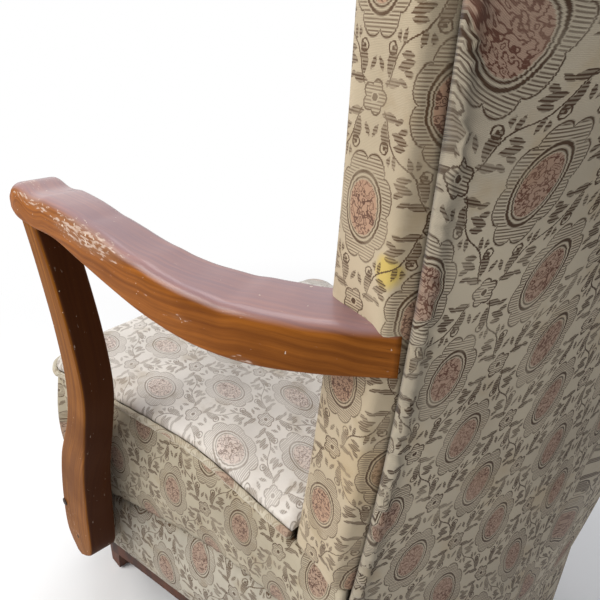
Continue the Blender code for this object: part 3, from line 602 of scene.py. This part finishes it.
# Share of the dome's height, and share of its outline left there.
rise = np.array([[0.0, 0.985], [0.05, 1.0], [0.30, 1.0], [0.55, 0.992], [0.75, 0.975], [0.90, 0.945],
                 [0.97, 0.90], [1.0, 0.84], [1.0, 0.60], [0.98, 0.30], [0.97, 0.05]])
centre = np.array([0.0, seam_y(z_top) + 0.01])
plan = centre + (base - centre)[None] * rise[:, 1][:, None, None]
height = np.broadcast_to((z_top + 0.0235 * rise[:, 0])[:, None], plan.shape[:2])
rings = np.concatenate([plan + (0.0, BACKWARD), height[..., None]], -1)
weave = np.stack([rings[..., 0], rings[..., 1] + 2.0 * (rings[..., 2] - z_top)], -1)
top_border = shell("back_top_cover", rings, np.concatenate([weave, weave[:, :1]], 1))
top_border.data.materials.append(inside_cover)
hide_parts("back_top_border")


# Arms: beech sawn to a curve from thick boards, stained and varnished, scuffed bare on the outer edge. A
# section with rounded corners follows smooth curves through the knots of the arm's line.
def show_wood(name, honey, dark, scuffs, sheen, shaded=0.0, empty_holes=()):
    """Varnished wood with grain along its UV map's first axis, pale scuffs, small chips and screw holes.

    A scuff is a soft ellipsoid, given by its middle, its half sizes and its amount. sheen sets the coat and a
    painted reflection, a pale lilac cast on the faces turned up. shaded darkens the faces turned to the rear
    with painted shade.
    """
    wood = Finish(name, Coat_Roughness=0.25, Specular_IOR_Level=0.05)
    uv = wood.node("SeparateXYZ", {0: wood.node("TexCoord", out="UV")})
    along, round_it = uv, uv.also(1)
    place = wood.node("TexCoord", out="Object")
    grain_at = wood.node("CombineXYZ", {0: along * 1.6, 1: round_it * 60.0})
    grain = wood.noise(grain_at, 3.0, 3.0)
    turned = wood.node("SeparateXYZ", {0: wood.node("TexCoord", out="Normal")})
    behind = turned.also(1).over(0.55, 0.90) * shaded
    upward = turned.also(2).over(0.35, 0.95)
    pores = wood.noise(wood.node("CombineXYZ", {0: along * 40.0, 1: round_it * 900.0}), 1.0, 3.0)
    cloud = wood.noise(place, 9.0, 4.0)
    rough = wood.noise(wood.node("CombineXYZ", {0: along * 38.0, 1: round_it * 120.0}), 2.3, 8.0)
    chips = wood.noise(place, 150.0, 3.0)
    base = wood.mix(grain.over(0.15, 0.85), dark, honey)
    base = wood.mix(pores.over(0.62, 0.75) * 0.5, base, tuple(0.35 * c for c in dark[:3]) + (1.0,))
    base = wood.mix(cloud.over(0.45, 0.75) * 0.7, base, dark)
    # Painted shade: faces turned to the rear are darkened toward dark brown, by the share given in shaded.
    base = wood.mix(behind, base, tone(62, 36, 24))
    bare = cloud * 0.0
    for at, size, amount in scuffs:
        near = wood.node("VectorMath", {0: place, 1: at}, out=0, operation="SUBTRACT")
        near = wood.node("VectorMath", {0: near, 1: size}, out=0, operation="DIVIDE")
        near = wood.node("VectorMath", {0: near}, out="Value", operation="LENGTH").over(1.0, 0.25) * amount
        bare = bare | near
    # Painted reflection: a pale lilac cast on faces turned up, standing in for the window's sheen on the
    # varnish.
    base = wood.mix(upward * 0.45 * sheen, base, tone(160, 142, 158))
    worn = (rough + 0.27 * bare + 0.20 * (grain - 0.5)).over(0.68, 0.82)
    chipped = (chips + 0.10 * bare).over(0.735, 0.765)
    base = wood.mix((bare - 0.2).over(0.0, 0.6) * 0.45, base, tone(150, 112, 86))
    base = wood.mix(worn * 0.72, base, tone(206, 184, 168))
    base = wood.mix(chipped * 0.8, base, tone(226, 208, 188))
    for at in empty_holes:
        away = wood.node("VectorMath", {0: place, 1: at}, out="Value", operation="DISTANCE")
        base = wood.mix(away.over(0.0036, 0.0030), base, tone(26, 18, 14))
    wood.feed(Base_Color=base, Roughness=(0.38 + 0.25 * cloud + 0.35 * worn) & 1.0)
    wood.feed(Coat_Weight=(0.06 + 0.94 * upward) * sheen)
    wood.bump(grain * 0.4 + pores * 0.4 - worn * 0.6 - chipped * 1.2, 0.0005, 0.6)
    return wood.material


arm_wood = show_wood(
    "varnished_beech", tone(160, 96, 38), tone(104, 58, 22),
    (
        ((0.356, -0.050, 0.746), (0.024, 0.150, 0.030), 0.92),
        ((0.354, -0.190, 0.752), (0.018, 0.100, 0.012), 0.62),
        ((0.348, 0.120, 0.744), (0.016, 0.100, 0.010), 0.60),
        ((0.335, -0.235, 0.766), (0.030, 0.040, 0.016), 0.45),
        ((0.345, 0.090, 0.705), (0.020, 0.040, 0.010), 0.62),
        ((0.330, 0.160, 0.684), (0.030, 0.036, 0.010), 0.80),
        ((-0.354, -0.200, 0.750), (0.018, 0.130, 0.016), 0.7),
    ),
    # The arms take the full coat and the full painted reflection on their upward faces.
    1.0,
)
# Knots of the arm from the back to the nose: middle in plan, top, depth, and width in units of 60 mm.
ARM_X = (0.165, 0.212, 0.252, 0.282, 0.303, 0.316, 0.322, 0.325, 0.325, 0.325, 0.325, 0.325)
ARM_Y = (0.452, 0.402, 0.352, 0.302, 0.250, 0.192, 0.130, 0.072, 0.015, -0.040, -0.086, -0.119)
ARM_Z = (0.731, 0.731, 0.731, 0.732, 0.735, 0.742, 0.751, 0.759, 0.763, 0.758, 0.761, 0.744)
ARM_DEEP = (0.048, 0.048, 0.050, 0.053, 0.055, 0.055, 0.053, 0.050, 0.046, 0.043, 0.046, 0.026)
ARM_WIDE = (1.10, 1.12, 1.20, 1.20, 1.05, 0.92, 0.88, 0.87, 0.90, 0.94, 0.93, 0.76)


def through(knots, t):
    """Catmull-Rom values at t, 0 to 1, through evenly spaced knots."""
    knots = np.asarray(knots)
    last = len(knots) - 1
    k = np.minimum((t * last).astype(int), last - 1)
    u = t * last - k
    before, here, after, beyond = (knots[np.clip(k + d, 0, last)] for d in (-1, 0, 1, 2))
    return 0.5 * (2 * here + (after - before) * u + (2 * before - 5 * here + 4 * after - beyond) * u**2
                  + (3 * here - before - 3 * after + beyond) * u**3)


def rounded(half, deep, top_r, low_r, steps=7):
    """A box section from the lower inner corner round by the top, its four corners quarter circles.

    The inner top corner is half as round as the outer one, which hands have worn.
    """
    crisp = 0.45 * top_r[:, None]
    turn = np.linspace(0.0, math.pi / 2, steps)
    c, s = np.cos(turn), np.sin(turn)
    a = np.concatenate([
        -half[:, None] + low_r * (1 - s), -half[:, None] + crisp * (1 - c),
        half[:, None] - top_r[:, None] * (1 - s), half[:, None] - low_r * (1 - c),
    ], 1)
    b = np.concatenate([
        -deep[:, None] + low_r * (1 - c), -crisp * (1 - s),
        -top_r[:, None] * (1 - c), -deep[:, None] + low_r * (1 - s),
    ], 1)
    return a, b


t = np.concatenate([np.linspace(0.09, 0.985, 130), [0.992, 0.997, 1.0]])
shrink = np.concatenate([np.zeros(130), [0.06, 0.16, 0.34]])
line = np.stack([through(ARM_X, np.minimum(t + 0.01, 1.0)) - through(ARM_X, t - 0.01),
                 through(ARM_Y, np.minimum(t + 0.01, 1.0)) - through(ARM_Y, t - 0.01)], 1)
line /= np.linalg.norm(line, axis=1)[:, None]
half, deep = 0.030 * through(ARM_WIDE, t), through(ARM_DEEP, t)
a, b = rounded(half, deep, np.minimum(0.0135, 0.45 * deep), 0.0055)
a = np.where(a < 0, a * (1.0 + 0.24 * smooth((0.75 - t) / 0.4))[:, None], a) * (1.0 - shrink[:, None])
b = -deep[:, None] / 2 + (b + deep[:, None] / 2) * (1.0 - shrink[:, None])
# Small dents in the top and the upper sides.
dent = 0.0005 * np.sin(t * 23.0 + 2.0 * np.sin(t * 41.0))[:, None] * (b > -0.012)
plan_x = through(ARM_X, t)[:, None] - line[:, 1:] * a
plan_y = through(ARM_Y, t)[:, None] + line[:, :1] * a
height = through(ARM_Z, t)[:, None] + b - dent
run = np.concatenate([[0.0], np.cumsum(np.hypot(np.diff(through(ARM_X, t)), np.diff(through(ARM_Y, t))))])
for word, side in (("left", 1.0), ("right", -1.0)):
    rings = np.stack([side * plan_x, plan_y + BACKWARD, height], -1)
    girth = np.linalg.norm(np.diff(np.concatenate([rings, rings[:, :1]], 1), axis=1), axis=-1)
    girth = np.concatenate([np.zeros((len(t), 1)), np.cumsum(girth, 1)], 1)
    weave = np.stack([np.broadcast_to(run[:, None], girth.shape), girth], -1)
    arm = shell("arm_wood_" + word, rings, weave)
    arm.data.materials.append(arm_wood)
    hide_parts("arm_" + word)


# Arm posts: flat S-shaped boards sawn from the same beech, screwed to the front legs through the cover.
# A box section with worn corners follows the front and rear edges of the board.
post_wood = show_wood(
    "varnished_post", tone(142, 88, 30), tone(92, 52, 16),
    (
        ((0.352, -0.270, 0.180), (0.030, 0.070, 0.060), 0.30),
        ((0.352, -0.215, 0.560), (0.012, 0.040, 0.160), 0.30),
    ),
    # The posts take 0.92 of the painted shade on their rear faces.
    0.12, 0.92, ((0.3525, -0.2461, 0.167), (-0.3525, -0.2461, 0.167)),
)
# Knots of the post from the foot to the arm: height up it, and its front and rear edges.
POST_Z = (0.000, 0.035, 0.120, 0.210, 0.300, 0.375, 0.450, 0.530, 0.585)
POST_FRONT = (-0.095, -0.122, -0.114, -0.088, -0.040, -0.020, -0.028, -0.052, -0.074)
POST_REAR = (-0.075, -0.038, -0.028, -0.014, 0.014, 0.032, 0.022, -0.006, -0.034)
t = np.linspace(0.0, 1.0, 70)
z = 0.128 + 0.5895 * through(POST_Z, t) / 0.585
front, rear = through(POST_FRONT, t), through(POST_REAR, t)
half = (rear - front) / 2
a, b = rounded(half, np.full(len(t), 0.044), np.full(len(t), 0.005), 0.004)
for word, side in (("left", 1.0), ("right", -1.0)):
    rings = np.stack([side * (0.3525 + b), ((front + rear) / 2)[:, None] + a + BACKWARD,
                      np.broadcast_to(z[:, None], a.shape)], -1)
    girth = np.linalg.norm(np.diff(np.concatenate([rings, rings[:, :1]], 1), axis=1), axis=-1)
    girth = np.concatenate([np.zeros((len(t), 1)), np.cumsum(girth, 1)], 1)
    weave = np.stack([np.broadcast_to(z[:, None], girth.shape), girth], -1)
    post = shell("arm_post_wood_" + word, rings, weave)
    post.data.materials.append(post_wood)
    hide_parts("arm_post_" + word)


# Legs and the dark rails under the band: turned-in beech with a nearly black stain, dusty low down. The
# frame's own solids carry the finish.
def dress(names, material):
    """Gives solids of the frame a material in place of their own."""
    for name in names:
        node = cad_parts[name]
        node.data.materials.clear()
        node.data.materials.append(material)


def plain_wood(name, light, dark, roughness, stained_below=0.0):
    """Sawn or stained wood: grain stretched along Z and Y, dust in patches, and a dark stain up to a height."""
    wood = Finish(name, Specular_IOR_Level=0.3)
    place = wood.node("TexCoord", out="Object")
    grain = wood.noise(wood.node("Mapping", {0: place, 3: (70.0, 9.0, 9.0)}), 3.0, 5.0)
    dust = wood.noise(place, 24.0, 4.0)
    base = wood.mix(grain.over(0.3, 0.7), dark, light)
    base = wood.mix(dust.over(0.55, 0.8) * 0.35, base, tone(128, 108, 88))
    low = wood.node("SeparateXYZ", {0: place})
    stain = low.also(2).over(stained_below + 0.004, stained_below)
    base = wood.mix(stain * 0.92, base, tone(58, 33, 22))
    wood.feed(Base_Color=base, Roughness=(roughness + 0.2 * dust) & 1.0)
    wood.bump(grain, 0.0004, 0.5)
    return wood.material


dark_wood = plain_wood("dark_stained_beech", tone(84, 46, 28), tone(44, 26, 18), 0.42)
dress(["front_leg_left", "front_leg_right", "side_rail_left", "side_rail_right", "front_rail"], dark_wood)
frame_wood = plain_wood("bare_beech", tone(196, 168, 126), tone(160, 128, 88), 0.7, 0.118)
dress(
    ["back_upright_left", "back_upright_right", "rear_rail", "back_lower_rail", "back_top_rail",
     "corner_block_left", "corner_block_right"],
    frame_wood,
)


# Webbing, hessian, dust cloth and stuffing: jute straps, sacking, thin black cotton and packed fibre, all
# hidden in the chair. Crossed sines make the weave, and noise the fibre.
def sacking(name, light, dark, pitch):
    """Plain weave: the product of two sines across X and Y plus Z, with uneven threads."""
    cloth = Finish(name, Roughness=0.95, Specular_IOR_Level=0.1)
    place = cloth.node("TexCoord", out="Object")
    parts = cloth.node("SeparateXYZ", {0: place})
    y, z = parts.also(1), parts.also(2)
    turn = 2 * math.pi / pitch
    weave = (parts * turn).math("SINE") * ((y + z) * turn).math("SINE")
    uneven = cloth.noise(place, 60.0, 4.0)
    cloth.feed(Base_Color=cloth.mix((0.5 + 0.35 * weave + 0.6 * (uneven - 0.5)) & 1.0, dark, light))
    cloth.bump(weave, 0.0005, 0.6)
    return cloth.material


jute = sacking("jute_strap", tone(176, 148, 108), tone(112, 86, 56), 0.0040)
dress([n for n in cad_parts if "_web_" in n], jute)
dress(["back_hessian", "seat_hessian"], sacking("hessian", tone(186, 156, 112), tone(118, 90, 58), 0.0026))
dress(["base_cloth"], sacking("black_dust_cloth", tone(58, 56, 56), tone(26, 25, 26), 0.0012))
dress(["seat_stuffing"], sacking("packed_fibre", tone(190, 176, 146), tone(120, 102, 76), 0.0090))


# Springs, glides and screws: drawn wire and pressed steel, dulled and lightly rusted.
def old_steel(name, bright, rust, amount):
    """Steel whose rust follows patches of noise, rougher and no longer metallic where it has rusted."""
    steel = Finish(name, Specular_IOR_Level=0.5)
    place = steel.node("TexCoord", out="Object")
    patch = steel.noise(place, 90.0, 5.0).over(0.62 - 0.3 * amount, 0.75 - 0.2 * amount)
    steel.feed(Base_Color=steel.mix(patch, bright, rust))
    steel.feed(Roughness=0.4 + 0.4 * patch, Metallic=1.0 - 0.8 * patch)
    steel.bump(patch, 0.0002, 0.4)
    return steel.material


spring_steel = old_steel("spring_wire", tone(150, 146, 140), tone(110, 70, 48), 0.3)
dress([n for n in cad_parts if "spring" in n or "glide" in n], spring_steel)
dress(["post_screw_left", "post_screw_right"], old_steel("screw_head", tone(84, 78, 74), tone(54, 38, 30), 0.6))


# The stage: a pale floor under soft window light from the front left, and the photograph's camera.
floor = bpy.data.objects.new("floor", bpy.data.meshes.new("floor"))
corner = 40.0
floor.data.from_pydata(
    [(-corner, -corner, 0.0), (corner, -corner, 0.0), (corner, corner, 0.0), (-corner, corner, 0.0)],
    [], [(0, 1, 2, 3)],
)
bpy.context.scene.collection.objects.link(floor)
paper = Finish("pale_floor", Base_Color=(0.93, 0.93, 0.93, 1.0), Roughness=0.9, Specular_IOR_Level=0.1)
away = paper.node("VectorMath", {0: paper.node("TexCoord", out="Object")}, out="Value", operation="LENGTH")
glow = paper.node("Emission", {0: (1.0, 1.0, 1.0, 1.0), 1: 1.0})
share = away.over(0.75, 1.6) * paper.node("LightPath", out="Is Camera Ray")
faded = paper.node("MixShader", {0: share, 1: Socket(paper, paper.shader.outputs[0]), 2: glow})
paper.join(faded, paper.material.node_tree.nodes["Material Output"].inputs["Surface"])
floor.data.materials.append(paper.material)

world = bpy.data.worlds.new("room")
world.use_nodes = True
bpy.context.scene.world = world
sky = world.node_tree.nodes["Background"]
sky.inputs["Color"].default_value = (0.95, 0.96, 1.0, 1.0)
sky.inputs["Strength"].default_value = 0.40
seen = world.node_tree.nodes.new("ShaderNodeBackground")
seen.inputs["Color"].default_value = (1.0, 1.0, 1.0, 1.0)
seen.inputs["Strength"].default_value = 1.0
rays = world.node_tree.nodes.new("ShaderNodeLightPath")
choose = world.node_tree.nodes.new("ShaderNodeMixShader")
seen_or_shone = world.node_tree.nodes.new("ShaderNodeMath")
seen_or_shone.operation = "MAXIMUM"
for output, socket in (
    (rays.outputs["Is Camera Ray"], seen_or_shone.inputs[0]),
    (rays.outputs["Is Glossy Ray"], seen_or_shone.inputs[1]),
    (seen_or_shone.outputs[0], choose.inputs[0]),
    (sky.outputs[0], choose.inputs[1]),
    (seen.outputs[0], choose.inputs[2]),
    (choose.outputs[0], world.node_tree.nodes["World Output"].inputs["Surface"]),
):
    world.node_tree.links.new(output, socket)


def lamp(name, place, aim, size, power, colour):
    """A square area lamp at a place, its level side and its back worked out from the point it aims at."""
    light = bpy.data.lights.new(name, "AREA")
    light.shape, light.size, light.energy, light.color = "SQUARE", size, power, colour
    obj = bpy.data.objects.new(name, light)
    away = np.array(place) - np.array(aim)
    away /= np.linalg.norm(away)
    side = np.cross((0.0, 0.0, 1.0), away)
    side /= np.linalg.norm(side)
    turned = Matrix(np.stack([side, np.cross(away, side), away], 1).tolist()).to_4x4()
    turned.translation = place
    obj.matrix_world = turned
    bpy.context.scene.collection.objects.link(obj)


lamp("window", (2.3, -1.0, 2.2), (0.0, -0.1, 0.4), 1.8, 76.0, (1.0, 0.985, 0.96))
lamp("ceiling", (-0.4, -0.7, 3.2), (0.0, 0.0, 0.3), 2.0, 34.0, (0.95, 0.97, 1.0))

heading, pitch, roll = math.radians(44.5), math.radians(-26.5), math.radians(2.0)
forward = np.array([
    -math.sin(heading) * math.cos(pitch), -math.cos(heading) * math.cos(pitch), math.sin(pitch),
])
level = np.cross(forward, (0.0, 0.0, 1.0))
level /= np.linalg.norm(level)
upward = np.cross(level, forward)
right = level * math.cos(roll) + upward * math.sin(roll)
above = upward * math.cos(roll) - level * math.sin(roll)
lens = bpy.data.cameras.new("photograph")
lens.sensor_width = 36.0
lens.lens = 36.0
camera = bpy.data.objects.new("photograph", lens)
camera.matrix_world = Matrix(np.stack([right, above, -forward], 1).tolist()).to_4x4()
camera.location = (0.5968, 0.5058, 0.97)
bpy.context.scene.collection.objects.link(camera)
bpy.context.scene.camera = camera
bpy.context.scene.view_settings.view_transform = "Standard"
